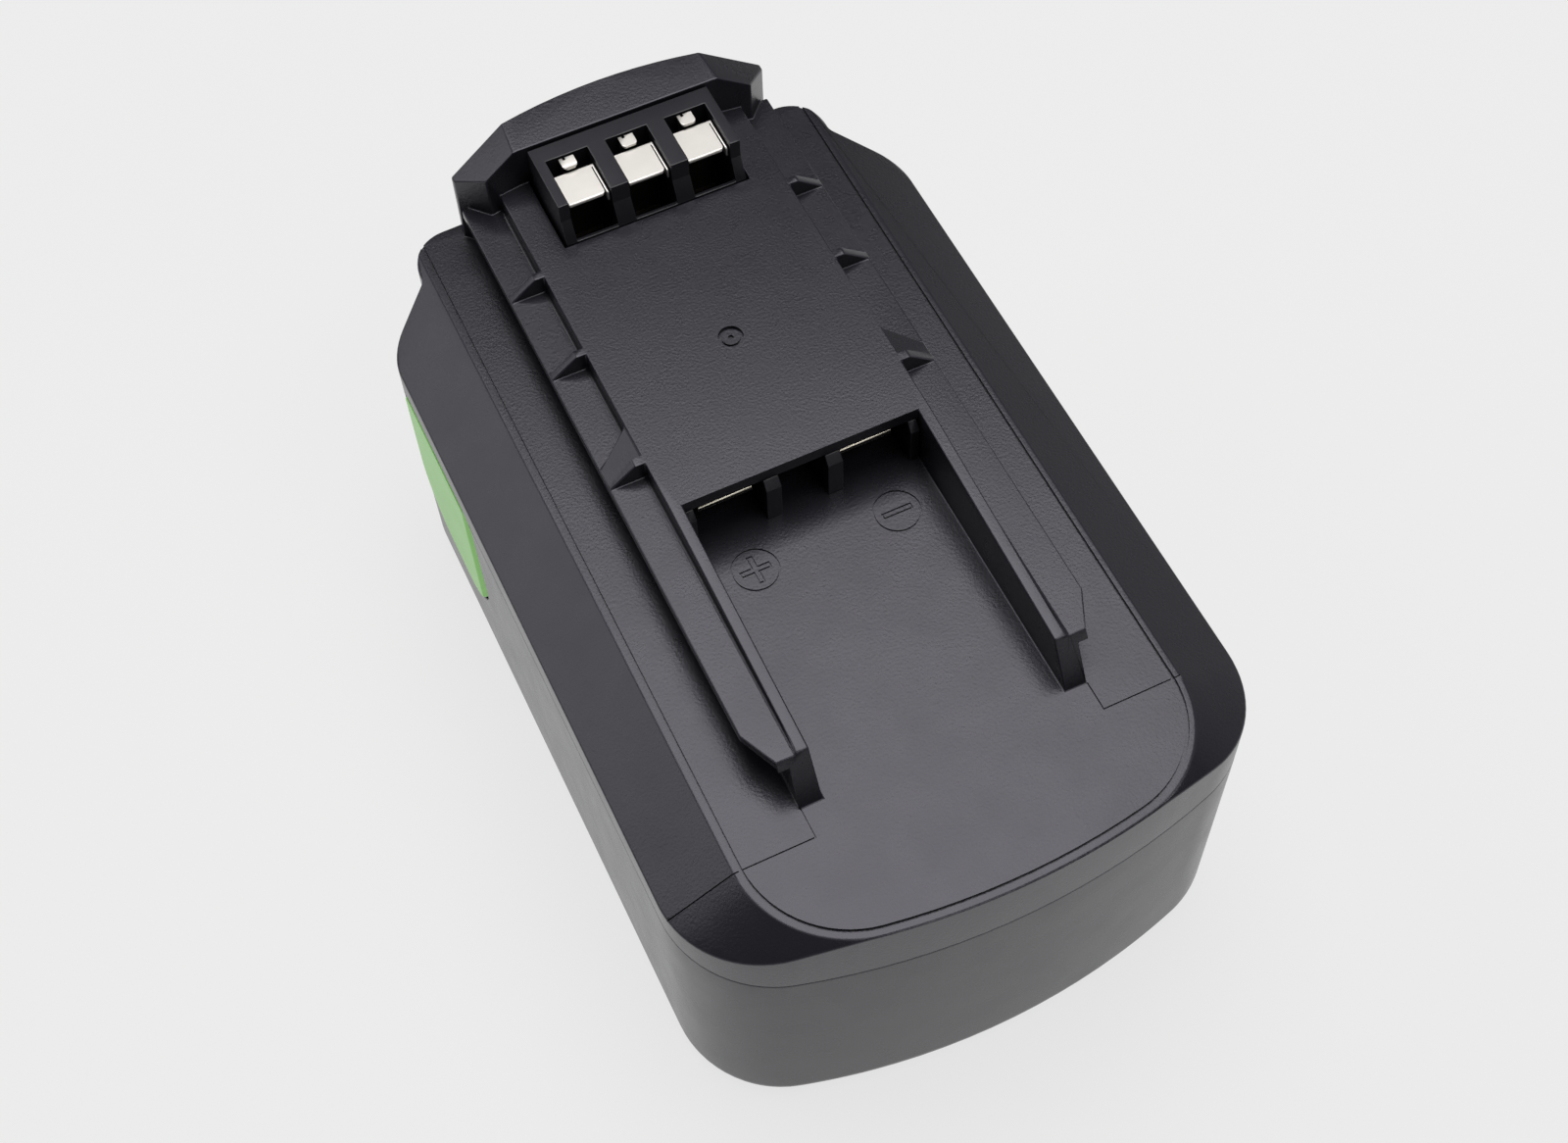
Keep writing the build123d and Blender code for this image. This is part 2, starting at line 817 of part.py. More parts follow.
def make_cell(y, z, heading):
    """Round cell along X, with its cap on the side that heading points to."""
    can_length = cell_length - cell_cap_height
    can = fillet(Cylinder(cell_radius, can_length).edges(), cell_edge_radius)
    groove_z = can_length / 2 - cell_groove_setback
    groove = Cylinder(cell_radius + overrun, cell_groove_width)
    groove -= Cylinder(cell_radius - cell_groove_depth, cell_groove_width)
    can -= Pos(0, 0, groove_z) * groove
    cap = Pos(0, 0, (can_length + cell_cap_height) / 2) * Cylinder(cell_cap_radius, cell_cap_height)
    cell = Pos(0, 0, -cell_cap_height / 2) * (can + cap)
    return Pos(0, y, z) * Rot(0, heading * 90, 0) * cell


def make_cell_ring(y, z, heading):
    """Insulating paper ring around one cap."""
    ring = Cylinder(ring_radius, ring_thickness) - Cylinder(ring_hole_radius, ring_thickness)
    lift = cell_length / 2 - cell_cap_height + ring_thickness / 2
    return Pos(0, y, z) * Rot(0, heading * 90, 0) * Pos(0, 0, lift) * ring


def column_heading(index):
    """Way that the caps of a column point: outward to the right in every other column."""
    return 1 if (index // cell_rows) % 2 == 0 else -1


def slide_y_range(gap):
    """Limits along Y of the latch slides, widened by a gap."""
    return (slide_y - slide_width / 2 - gap, slide_y + slide_width / 2 + gap)


def make_cell_holder():
    """Right holder: a frame with a bore for each cell and a notch for the latch slide."""
    outer_x = cell_length / 2
    holder = box_between(
        (outer_x - holder_depth, outer_x),
        (holder_front_y, holder_front_y + holder_length),
        (holder_bottom, holder_top),
    )
    for y, z in cell_places():
        bore = Cylinder(bore_radius, holder_depth + overrun)
        holder -= Pos(outer_x - holder_depth / 2, y, z) * Rot(0, 90, 0) * bore
    notch_gap = (holder_notch_width - slide_width) / 2
    holder -= box_between(
        (outer_x - holder_depth - overrun, outer_x + overrun),
        slide_y_range(notch_gap),
        (holder_top - holder_notch_depth, holder_top + overrun),
    )
    for place_y in board_screw_places:
        hole = Cylinder(board_screw_radius, board_screw_length * 2)
        holder -= Pos(board_screw_x, place_y, board_top) * hole
    return holder


def strip_columns():
    """Columns joined by each welded strip, as side, first column and last column."""
    last = cell_columns - 1
    left = [(-1, 0, 0)] + [(-1, first, first + 1) for first in range(1, last, 2)]
    right = [(1, first, first + 1) for first in range(0, last, 2)] + [(1, last, last)]
    return left + right


def make_strip(side, first, last):
    """Nickel strip over one or two columns of cells, with a tab folded under the board."""
    start_y = first_cell_y + first * cell_pitch
    end_y = first_cell_y + last * cell_pitch
    inner_x = cell_length / 2
    outer_x = inner_x + strip_thickness
    top_z = low_row_height + (cell_rows - 1) * row_pitch + strip_margin
    plate = box_between(
        (inner_x, outer_x),
        (start_y - strip_margin, end_y + strip_margin),
        (low_row_height - strip_margin, top_z),
    )
    for column in range(first, last + 1):
        slot_y = first_cell_y + column * cell_pitch
        middle_z = low_row_height + row_pitch / 2
        plate -= box_between(
            (inner_x - overrun, outer_x + overrun),
            (slot_y - strip_slot_width / 2, slot_y + strip_slot_width / 2),
            (middle_z - strip_margin, middle_z + strip_margin),
        )
    tab_range = (start_y - strip_tab_width / 2, start_y + strip_tab_width / 2)
    riser = box_between((inner_x, outer_x), tab_range, (top_z, board_bottom))
    fold = box_between((inner_x - strip_tab_reach, outer_x), tab_range, (holder_top, board_bottom))
    strip = plate + riser + fold
    return strip if side > 0 else flipped(strip)


def make_insulation_sheet():
    """Sheet that covers the right strips."""
    front_y = first_cell_y - bore_radius
    rear_y = first_cell_y + (cell_columns - 1) * cell_pitch + bore_radius
    inner_x = cell_length / 2 + strip_thickness
    top = low_row_height + (cell_rows - 1) * row_pitch + strip_margin + fit_gap * 2
    return box_between(
        (inner_x, inner_x + sheet_thickness),
        (front_y, rear_y),
        (holder_bottom + sheet_margin, top),
    )


def make_foam_pads():
    """Two foam strips between the floor and the holders."""
    front_y = first_cell_y - bore_radius
    rear_y = first_cell_y + (cell_columns - 1) * cell_pitch + bore_radius
    outer_x = cell_length / 2
    pad = box_between((outer_x - holder_depth, outer_x), (front_y, rear_y), (floor_thickness, holder_bottom))
    return Compound(children=[pad, flipped(pad)])


def make_circuit_board():
    """Main board over the cells, with windows for the latch posts and the spring stops."""
    board = box_between(
        (-board_half, board_half),
        (holder_front_y + board_front_inset, on_island(board_rear_distance)),
        (board_bottom, board_top),
    )
    board += box_between(
        (-board_tail_width / 2, board_tail_width / 2),
        (on_island(board_rear_distance), on_island(board_tail_distance)),
        (board_bottom, board_top),
    )
    window = box_between(
        (stop_x - stop_thickness - board_window_gap, post_outer_x + board_window_gap),
        slide_y_range(board_window_gap),
        (board_bottom - overrun, board_top + overrun),
    )
    board -= both_sides(window)
    for side in sides.values():
        for place_y in board_screw_places:
            hole = Cylinder(board_screw_radius + pilot_gap, (board_thickness + overrun) * 2)
            board -= Pos(side * board_screw_x, place_y, board_top) * hole
    return board


def on_board(x, distance, length, width, height):
    """Block that stands on the board at a place."""
    return Pos(x, on_island(distance), board_top + height / 2) * Box(length, width, height)


def make_transistors():
    """Row of switching transistors, each with a metal tab."""
    parts = []
    first_x = -transistor_pitch * (transistor_count - 1) / 2
    for index in range(transistor_count):
        x = first_x + index * transistor_pitch
        body = on_board(x, transistor_distance, transistor_size, transistor_size, transistor_height)
        tab_distance = transistor_distance - (transistor_size + transistor_tab_length) / 2
        tab = on_board(x, tab_distance, transistor_tab_width, transistor_tab_length, lead_thickness)
        parts.append(body + tab)
    return Compound(children=parts)


def make_shunt():
    """Current-sensing bar bridged over the board."""
    bar = on_board(0, shunt_distance, shunt_length, shunt_width, shunt_thickness * 2)
    gap = on_board(0, shunt_distance, shunt_length - shunt_width, shunt_width + overrun, shunt_thickness)
    return bar - gap


def make_control_chip():
    """Control chip with leads on two sides."""
    pitch = chip_size / chip_lead_count
    first_distance = chip_distance - (chip_size - pitch) / 2
    chip = on_board(chip_offset, chip_distance, chip_size, chip_size, chip_height)
    for index in range(chip_lead_count):
        distance = first_distance + index * pitch
        chip += on_board(chip_offset, distance, chip_size + chip_lead_reach * 2, pitch / 2, lead_thickness)
    return chip


def make_capacitors():
    """Row of small ceramic capacitors."""
    parts = []
    for index in range(capacitor_count):
        distance = capacitor_distance + index * capacitor_pitch
        part = on_board(
            capacitor_offset, distance, capacitor_length, capacitor_width, capacitor_height
        )
        parts.append(part)
    return Compound(children=parts)


def make_thermistor():
    """Bead in the valley between two upper cells."""
    valley_y = first_cell_y + cell_pitch * (cell_columns - 2) / 2
    reach = cell_radius + thermistor_radius
    lift = math.sqrt(reach ** 2 - (cell_pitch / 2) ** 2) + cell_gap
    height = low_row_height + (cell_rows - 1) * row_pitch + lift
    return Pos(0, valley_y, height) * Rot(0, 90, 0) * Cylinder(thermistor_radius, thermistor_length)


def make_board_screws():
    """Screws that hold the board to the cell holders."""
    screws = []
    for side in sides.values():
        for place_y in board_screw_places:
            head = Cylinder(board_screw_head_radius, board_screw_head_height)
            head = Pos(0, 0, board_screw_head_height / 2) * head
            shank = Pos(0, 0, -board_screw_length / 2) * Cylinder(board_screw_radius, board_screw_length)
            slot = Pos(0, 0, board_screw_head_height) * Box(
                board_screw_head_radius * 2, board_screw_slot_width, board_screw_head_height
            )
            screw = head + shank - slot
            screws.append(Pos(side * board_screw_x, place_y, board_top) * screw)
    return Compound(children=screws)


def blade_middle(side):
    """X of the middle of a power contact."""
    return sides[side] * blade_offset + blade_shift


def make_contact_carrier():
    """Carrier under the island's front edge, with slanted dividers that stand out between the contacts."""
    half = bay_half - fit_gap
    edge_y = on_island(0)
    rear_y = on_island(carrier_rear_distance)
    top = island_height - island_plate
    outline = [
        (edge_y - carrier_proud, deck_height),
        (rear_y, deck_height),
        (rear_y, top),
        (edge_y, top),
        (edge_y - carrier_proud, top - carrier_facet),
    ]
    carrier = profile_along_x(outline, -half, half)
    inner = carrier_middle_width / 2
    outer_start = inner + carrier_rib_width
    depth_range = (edge_y - carrier_proud - overrun, rear_y - carrier_wall)
    height_range = (deck_height - overrun, top + overrun)
    carrier -= box_between((-inner, inner), depth_range, height_range)
    carrier -= both_sides(box_between((outer_start, half - carrier_cheek), depth_range, height_range))
    slot_half = blade_width / 2 + fit_gap
    for side in sides:
        middle = blade_middle(side)
        carrier -= box_between(
            (middle - slot_half, middle + slot_half),
            (rear_y - carrier_wall - overrun, rear_y + overrun),
            (blade_height - fit_gap, blade_height + blade_thickness + fit_gap),
        )
    return carrier


def make_power_contact(side):
    """Power contact: a flat blade with an eased front edge and a leg down to the board."""
    middle = blade_middle(side)
    front_y = on_island(blade_front_distance)
    rear_y = front_y + blade_length
    blade = box_between(
        (middle - blade_width / 2, middle + blade_width / 2),
        (front_y, rear_y),
        (blade_height, blade_height + blade_thickness),
    )
    front_edges = blade.faces().sort_by(Axis.Y)[0].edges().filter_by(Axis.X)
    blade = chamfer(front_edges, blade_edge)
    leg = box_between(
        (middle - leg_width / 2, middle + leg_width / 2),
        (rear_y - blade_thickness, rear_y),
        (board_top, blade_height),
    )
    return blade + leg


def make_terminal_block():
    """Black block with three bays for the signal contacts, whose walls lean out to the pocket's edge."""
    front_y = on_island(block_front_distance)
    foot_y = on_island(pocket_distance) + fit_gap
    outline = [
        (front_y, block_height),
        (on_island(block_rear_distance), block_height),
        (on_island(block_rear_distance), deck_height),
        (foot_y, deck_height),
        (foot_y, island_height),
        (front_y, block_height - block_facet),
    ]
    block = profile_along_x(outline, -block_width / 2, block_width / 2)
    floor_z = deck_height + block_floor
    for index in (-1, 0, 1):
        middle = index * terminal_pitch
        x_range = (middle - terminal_width / 2, middle + terminal_width / 2)
        rear_y = front_y + terminal_depth
        block -= box_between(x_range, (foot_y + sill_thickness, rear_y), (floor_z, block_height + overrun))
        block -= box_between(x_range, (foot_y - overrun, rear_y), (island_height, block_height + overrun))
        pin_x, pin_y = contact_pin_place(middle)
        pin_half = contact_pin_width / 2 + fit_gap
        block -= box_between(
            (pin_x - pin_half, pin_x + pin_half),
            (pin_y - pin_half, pin_y + pin_half),
            (deck_height - overrun, floor_z + overrun),
        )
    return block


def contact_pin_place(middle):
    """Middle of a signal contact's pin, as X and Y, from the middle of its bay."""
    pin_x = middle + contact_width / 2 - contact_pin_width
    pin_y = on_island(block_front_distance) + contact_setback + contact_length - contact_pin_width / 2
    return pin_x, pin_y


def make_signal_contact(index):
    """Signal contact: a plate with a strip beside it, a riser, a base, a bent tab behind it and a pin."""
    middle = index * terminal_pitch
    left_x = middle - contact_width / 2
    right_x = middle + contact_width / 2
    front_y = on_island(block_front_distance) + contact_setback
    rear_y = front_y + contact_length
    floor_z = deck_height + block_floor
    plate_z = block_height - contact_drop
    plate_range = (left_x, left_x + contact_plate_width)
    plate = box_between(plate_range, (front_y, rear_y), (plate_z - contact_sheet, plate_z))
    strip = box_between(
        (right_x - contact_strip_width, right_x),
        (front_y, rear_y),
        (plate_z - contact_strip_height, plate_z),
    )
    riser = box_between((left_x, right_x), (rear_y - contact_sheet, rear_y), (floor_z, plate_z))
    tab_middle = left_x + contact_plate_width / 2
    tab_range = (tab_middle - contact_tab_width / 2, tab_middle + contact_tab_width / 2)
    tab_front = rear_y + contact_tab_gap
    tab_rear = tab_front + contact_tab_length
    tab_z = plate_z + contact_tab_rise
    tab = box_between(tab_range, (tab_front, tab_rear), (tab_z - contact_sheet, tab_z))
    notch_x = tab_middle - contact_notch_width
    tab -= box_between(
        (notch_x - contact_notch_width / 2, notch_x + contact_notch_width / 2),
        (tab_rear - contact_notch_depth, tab_rear + overrun),
        (tab_z - contact_sheet - overrun, tab_z + overrun),
    )
    post_y = tab_rear - contact_notch_depth
    post = box_between(tab_range, (post_y - contact_sheet, post_y), (floor_z, tab_z))
    base = box_between(
        (left_x, right_x),
        (rear_y - contact_pin_width, post_y),
        (floor_z, floor_z + contact_sheet),
    )
    pin_x, pin_y = contact_pin_place(middle)
    pin = box_between(
        (pin_x - contact_pin_width / 2, pin_x + contact_pin_width / 2),
        (pin_y - contact_pin_width / 2, pin_y + contact_pin_width / 2),
        (board_top, floor_z + contact_sheet),
    )
    return plate + strip + riser + base + post + tab + pin


def make_button():
    """Right release button: a slanted front, a hollow back, and a lip with a tab for the slide."""
    face_x = case_width / 2 + button_proud
    button = button_prism(0, lip_inner_x, face_x) + button_prism(lip_margin, lip_inner_x, lip_outer_x)
    button += box_between(
        (lip_inner_x, lip_outer_x),
        slide_y_range(0),
        (button_top_height, slide_top_height - tab_drop),
    )
    front_y = on_island(button_front_distance)
    facet = make_face(
        Polyline(
            (face_x - button_facet_depth, front_y - overrun),
            (face_x - button_facet_depth, front_y),
            (face_x, front_y + button_facet_length),
            (face_x + overrun, front_y + button_facet_length),
            (face_x + overrun, front_y - overrun),
            close=True,
        )
    )
    height = button_top_height - button_bottom_height + overrun * 2
    button -= Pos(0, 0, button_bottom_height - overrun) * extrude(facet, amount=height)
    hollow = box_between(
        (lip_inner_x - overrun, face_x - button_skin),
        (
            front_y + button_facet_length + button_skin,
            on_island(button_rear_distance) - button_lower_radius / 2,
        ),
        (button_bottom_height + button_lower_radius / 2, button_top_height - button_skin),
    )
    return button - hollow


def make_slide():
    """Right latch slide: an arm over the cells, a post through the deck and a lug in the rail groove."""
    y_range = slide_y_range(0)
    arm = box_between((post_inner_x, lip_inner_x), y_range, (slide_bottom_height, slide_top_height))
    post = box_between((post_inner_x, post_outer_x), y_range, (slide_bottom_height, slide_post_height))
    lug_bottom = slide_post_height - latch_height
    lug = box_between((post_inner_x, web_outer_x + latch_reach), y_range, (lug_bottom, slide_post_height))
    lug_edges = lug.faces().sort_by(Axis.X)[-1].edges().filter_by(Axis.Z)
    lug = chamfer(lug_edges, latch_lead)
    return arm + post + lug


def biarc(start, start_way, end, end_way):
    """Two tangent arcs from one point and direction to another."""
    chord = end - start
    ways = start_way + end_way
    spread = 2 * (1 - start_way.dot(end_way))
    lean = chord.dot(ways)
    reach = (math.sqrt(lean ** 2 + spread * chord.dot(chord)) - lean) / spread
    near = start + start_way * reach
    far = end - end_way * reach
    joint = (near + far) / 2
    return [
        TangentArc(start, joint, tangent=start_way),
        TangentArc(joint, end, tangent=(far - near).normalized()),
    ]


def spring_point(angle, pitch, start_x):
    """Place on the spring's helix and the way that it runs there."""
    place = Vector(
        start_x + pitch * angle / (2 * math.pi),
        slide_y + spring_radius * math.cos(angle),
        spring_height + spring_radius * math.sin(angle),
    )
    way = Vector(
        pitch / (2 * math.pi),
        -spring_radius * math.sin(angle),
        spring_radius * math.cos(angle),
    ).normalized()
    return place, way


def make_spring():
    """Right button spring: one unbroken coil between the spring stop and the latch post."""
    seat = spring_wire_radius + spring_seat_gap
    start_x = stop_x + seat
    pitch = (spring_length - 2 * seat) / spring_turns
    quarters = spring_turns * 4
    edges = []
    for index in range(quarters):
        start, start_way = spring_point(index * math.pi / 2, pitch, start_x)
        end, end_way = spring_point((index + 1) * math.pi / 2, pitch, start_x)
        edges += biarc(start, start_way, end, end_way)
    start, start_way = spring_point(0, pitch, start_x)
    profile = Plane(origin=start, z_dir=start_way) * Circle(spring_wire_radius)
    print("spring gap between turns", round(pitch - 2 * spring_wire_radius, 3))
    return sweep(profile, path=Wire(edges))


def sided(name, shape):
    """Left and right nodes of a shape that was made for the right side."""
    return {f"{name}_{side}": on_side(shape, side) for side in sides}


def make_nodes():
    """All sub-parts by node name."""
    nodes = {
        "lower_case": make_lower_case(),
        "upper_case": make_upper_case(),
        "case_seal": make_case_seal(),
        "case_screws": make_case_screws(),
        "foam_pads": make_foam_pads(),
        "circuit_board": make_circuit_board(),
        "switching_transistors": make_transistors(),
        "current_shunt": make_shunt(),
        "control_chip": make_control_chip(),
        "capacitors": make_capacitors(),
        "thermistor": make_thermistor(),
        "board_screws": make_board_screws(),
        "contact_carrier": make_contact_carrier(),
        "power_contact_positive": make_power_contact("left"),
        "power_contact_negative": make_power_contact("right"),
        "terminal_block": make_terminal_block(),
    }
    nodes.update(sided("cell_holder", make_cell_holder()))
    nodes.update(sided("insulation_sheet", make_insulation_sheet()))
    nodes.update(sided("release_button", make_button()))
    nodes.update(sided("latch_slide", make_slide()))
    nodes.update(sided("button_spring", make_spring()))
    rings = []
    for index, (y, z) in enumerate(cell_places()):
        heading = column_heading(index)
        nodes[f"cell_{index + 1}"] = make_cell(y, z, heading)
        rings.append(make_cell_ring(y, z, heading))
    nodes["cell_rings"] = Compound(children=rings)
    for number, (side, first, last) in enumerate(strip_columns(), start=1):
        nodes[f"nickel_strip_{number}"] = make_strip(side, first, last)
    for index, name in ((-1, "left"), (0, "middle"), (1, "right")):
        nodes[f"signal_contact_{name}"] = make_signal_contact(index)
    return nodes


os.makedirs("parts", exist_ok=True)
for node, shape in make_nodes().items():
    export_step(shape, f"parts/{node}.step")
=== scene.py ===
import math

import bmesh
import bpy
from mathutils import Matrix, Vector


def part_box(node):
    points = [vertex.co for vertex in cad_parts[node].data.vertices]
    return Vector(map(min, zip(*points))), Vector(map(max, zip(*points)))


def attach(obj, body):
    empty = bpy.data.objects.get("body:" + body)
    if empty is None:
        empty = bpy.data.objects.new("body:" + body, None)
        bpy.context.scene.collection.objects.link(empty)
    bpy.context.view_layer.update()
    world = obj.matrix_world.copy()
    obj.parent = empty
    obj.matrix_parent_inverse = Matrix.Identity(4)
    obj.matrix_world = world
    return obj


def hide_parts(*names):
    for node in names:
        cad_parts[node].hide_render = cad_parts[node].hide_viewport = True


bl_info = {
    "name": "Battery pack",
    "version": (1, 0, 0),
    "blender": (4, 5, 0),
    "location": "3D View > Sidebar > Battery pack",
    "description": "Slide-on battery pack with rails, contacts and release buttons",
    "category": "Object",
}

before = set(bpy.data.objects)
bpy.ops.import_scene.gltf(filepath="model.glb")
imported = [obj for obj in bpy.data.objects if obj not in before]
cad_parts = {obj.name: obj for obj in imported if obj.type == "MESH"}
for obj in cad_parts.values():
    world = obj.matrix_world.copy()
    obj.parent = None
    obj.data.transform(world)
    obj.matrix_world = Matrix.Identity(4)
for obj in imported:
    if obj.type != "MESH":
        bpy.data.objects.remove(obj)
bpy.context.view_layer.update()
MM = 0.001
SIDES = ("left", "right")
THIRDS = ("left", "middle", "right")

# Points of a CAD copy closer than this are merged
MERGE_DISTANCE = 0.002 * MM
# Neighbouring faces that turn less than this are one flat face
FLAT_ANGLE = math.radians(0.05)
# Two coordinates closer than this are the same
NEAR = 0.01 * MM
# An edge is rounded only between regions this many bevel widths broad
ROOM_FOR_BEVEL = 2.4
# Edges that turn less than this are shaded smooth
SMOOTH_ANGLE = math.radians(38)
# A blade face whose normal goes further than this toward the nose is its front face, which is
# painted dark as painted shade under the island
SHADED_FRONT_NORMAL = -0.9
# Scales along X, Y and Z that squeeze a metal's noise into streaks
STREAKS_ACROSS = (1.0, 14.0, 1.0)
STREAKS_ALONG = (14.0, 1.0, 1.0)
STREAKS_FLAT = (1.0, 1.0, 14.0)
# What the softboxes are turned toward
PACK_MIDDLE = (0, 0, 0.05)
SENSOR_WIDTH = 36.0
FLOOR_WIDTH = 6.0


class PackSizes(bpy.types.PropertyGroup):
    """Sizes of the edges, the contacts and the plastic's grain."""

    case_edge: bpy.props.FloatProperty(
        name="Case edge", description="Rounding along the edges of the case", default=0.22 * MM,
        unit="LENGTH", precision=5,
    )
    fine_edge: bpy.props.FloatProperty(
        name="Fine edge", description="Rounding along the edges of small mouldings",
        default=0.12 * MM, unit="LENGTH", precision=5,
    )
    button_edge: bpy.props.FloatProperty(
        name="Button edge", description="Rounding along the edges of the buttons",
        default=0.2 * MM, unit="LENGTH", precision=5,
    )
    sharp_angle: bpy.props.FloatProperty(
        name="Sharp angle", description="Edges that turn more than this are rounded",
        default=math.radians(24), unit="ROTATION",
    )
    contact_edge: bpy.props.FloatProperty(
        name="Contact edge", description="Rounding along the edges of the contacts",
        default=0.04 * MM, unit="LENGTH", precision=5,
    )
    plate_roll: bpy.props.FloatProperty(
        name="Plate roll", description="Rounding of the front edge of a contact plate",
        default=0.3 * MM, unit="LENGTH", precision=5,
    )
    plate_cut: bpy.props.FloatProperty(
        name="Plate cut", description="Cut at the front right corner of a contact plate",
        default=0.45 * MM, unit="LENGTH", precision=5,
    )
    tab_corner: bpy.props.FloatProperty(
        name="Tab corner", description="Radius of the front corners of a bent tab",
        default=0.5 * MM, unit="LENGTH", precision=5,
    )
    # Below this depth the contacts' metal is painted dark: painted shade of the deep bay under the
    # plate
    shaded_depth: bpy.props.FloatProperty(
        name="Shaded depth", description="Depth below a contact plate where its metal turns dull",
        default=1.6 * MM, unit="LENGTH", precision=5,
    )
    grain_size: bpy.props.FloatProperty(
        name="Grain size", description="Size of the grains moulded into the plastic",
        default=0.36 * MM, unit="LENGTH", precision=5,
    )
    grain_depth: bpy.props.FloatProperty(
        name="Grain depth", description="Depth of the grains moulded into the plastic",
        default=0.022 * MM, unit="LENGTH", precision=6,
    )


class PackColours(bpy.types.PropertyGroup):
    """Colours of the plastics, metals and boards."""

    case: bpy.props.FloatVectorProperty(
        name="Case", description="Charcoal plastic of the case", subtype="COLOR",
        default=(0.0130, 0.0125, 0.0165),
    )
    sheen: bpy.props.FloatVectorProperty(
        name="Sheen", description="Tint of the dark plastic's reflections", subtype="COLOR",
        default=(0.93, 0.91, 1.0),
    )
    block: bpy.props.FloatVectorProperty(
        name="Block", description="Black plastic around the contacts", subtype="COLOR",
        default=(0.0110, 0.0105, 0.0135),
    )
    button: bpy.props.FloatVectorProperty(
        name="Button", description="Green plastic of the buttons", subtype="COLOR",
        default=(0.21, 0.68, 0.07),
    )
    nickel: bpy.props.FloatVectorProperty(
        name="Nickel", description="Plating of the signal contacts", subtype="COLOR",
        default=(0.72, 0.695, 0.655),
    )
    blade: bpy.props.FloatVectorProperty(
        name="Blade", description="Plating of the power contacts", subtype="COLOR",
        default=(0.90, 0.85, 0.70),
    )
    floor: bpy.props.FloatVectorProperty(
        name="Floor", description="Pale floor under the pack", subtype="COLOR",
        default=(0.1, 0.1, 0.1),
    )


class PackStage(bpy.types.PropertyGroup):
    """Camera and lights of the photograph."""

    azimuth: bpy.props.FloatProperty(
        name="Azimuth", description="Turn of the camera round the pack",
        default=math.radians(-23.40), unit="ROTATION",
    )
    elevation: bpy.props.FloatProperty(
        name="Elevation", description="Height of the camera above the horizon",
        default=math.radians(58.18), unit="ROTATION",
    )
    roll: bpy.props.FloatProperty(
        name="Roll", description="Turn of the camera about its own axis",
        default=math.radians(-2.456), unit="ROTATION",
    )
    camera_place: bpy.props.FloatVectorProperty(
        name="Camera place", description="Where the camera stands", subtype="TRANSLATION",
        unit="LENGTH", default=(-0.06674, -0.14928, 0.29063),
    )
    lens: bpy.props.FloatProperty(
        name="Lens", description="Focal length for a sensor 36 mm wide", default=53.29,
    )
    backdrop: bpy.props.FloatProperty(
        name="Backdrop", description="Brightness of the pale surroundings behind the pack",
        default=0.83,
    )
    sky: bpy.props.FloatProperty(
        name="Sky", description="Brightness of the surroundings that the pack reflects",
        default=0.05,
    )
    floor_glow: bpy.props.FloatProperty(
        name="Floor glow", description="Light of the floor's own, which keeps the shadow faint",
        default=0.735,
    )
    top_power: bpy.props.FloatProperty(
        name="Top power", description="Power of the large soft light overhead",
        default=8.6, unit="POWER",
    )
    left_power: bpy.props.FloatProperty(
        name="Left power", description="Power of the soft light at the rear left",
        default=1.8, unit="POWER",
    )
    right_power: bpy.props.FloatProperty(
        name="Right power", description="Power of the faint light at the right",
        default=0.5, unit="POWER",
    )
    front_power: bpy.props.FloatProperty(
        name="Front power", description="Power of the small light in front",
        default=0.35, unit="POWER",
    )
    near_power: bpy.props.FloatProperty(
        name="Near power", description="Power of the long light above the nose",
        default=2.1, unit="POWER",
    )


def sizes():
    return bpy.context.scene.pack_sizes


def colours():
    return bpy.context.scene.pack_colours


def stage_settings():
    return bpy.context.scene.pack_stage


def deselect():
    """Back to object mode with nothing selected."""
    if bpy.context.object and bpy.context.object.mode != "OBJECT":
        bpy.ops.object.mode_set(mode="OBJECT")
    bpy.ops.object.select_all(action="DESELECT")


def make_active(piece):
    """Selects one piece and makes it the active one."""
    deselect()
    piece.select_set(True)
    bpy.context.view_layer.objects.active = piece


def noise(nodes, links, scale, detail=3.0, roughness=0.55):
    """Noise in the piece's own coordinates."""
    place = nodes.new("ShaderNodeTexCoord")
    texture = nodes.new("ShaderNodeTexNoise")
    texture.inputs["Scale"].default_value = scale
    texture.inputs["Detail"].default_value = detail
    texture.inputs["Roughness"].default_value = roughness
    links.new(place.outputs["Object"], texture.inputs["Vector"])
    return texture


def ramp(nodes, links, source, low, high, low_at=0.3, high_at=0.7):
    """Colour ramp between two grey levels or colours."""
    shade = nodes.new("ShaderNodeValToRGB")
    shade.color_ramp.elements[0].position = low_at
    shade.color_ramp.elements[1].position = high_at
    shade.color_ramp.elements[0].color = low
    shade.color_ramp.elements[1].color = high
    links.new(source, shade.inputs["Fac"])
    return shade


def grey(value):
    return (value, value, value, 1.0)


def tint(colour, factor):
    return tuple(channel * factor for channel in colour) + (1.0,)


def new_material(name):
    """Empty node material with its shader."""
    material = bpy.data.materials.new(name)
    material.use_nodes = True
    shader = material.node_tree.nodes["Principled BSDF"]
    return material, material.node_tree.nodes, material.node_tree.links, shader


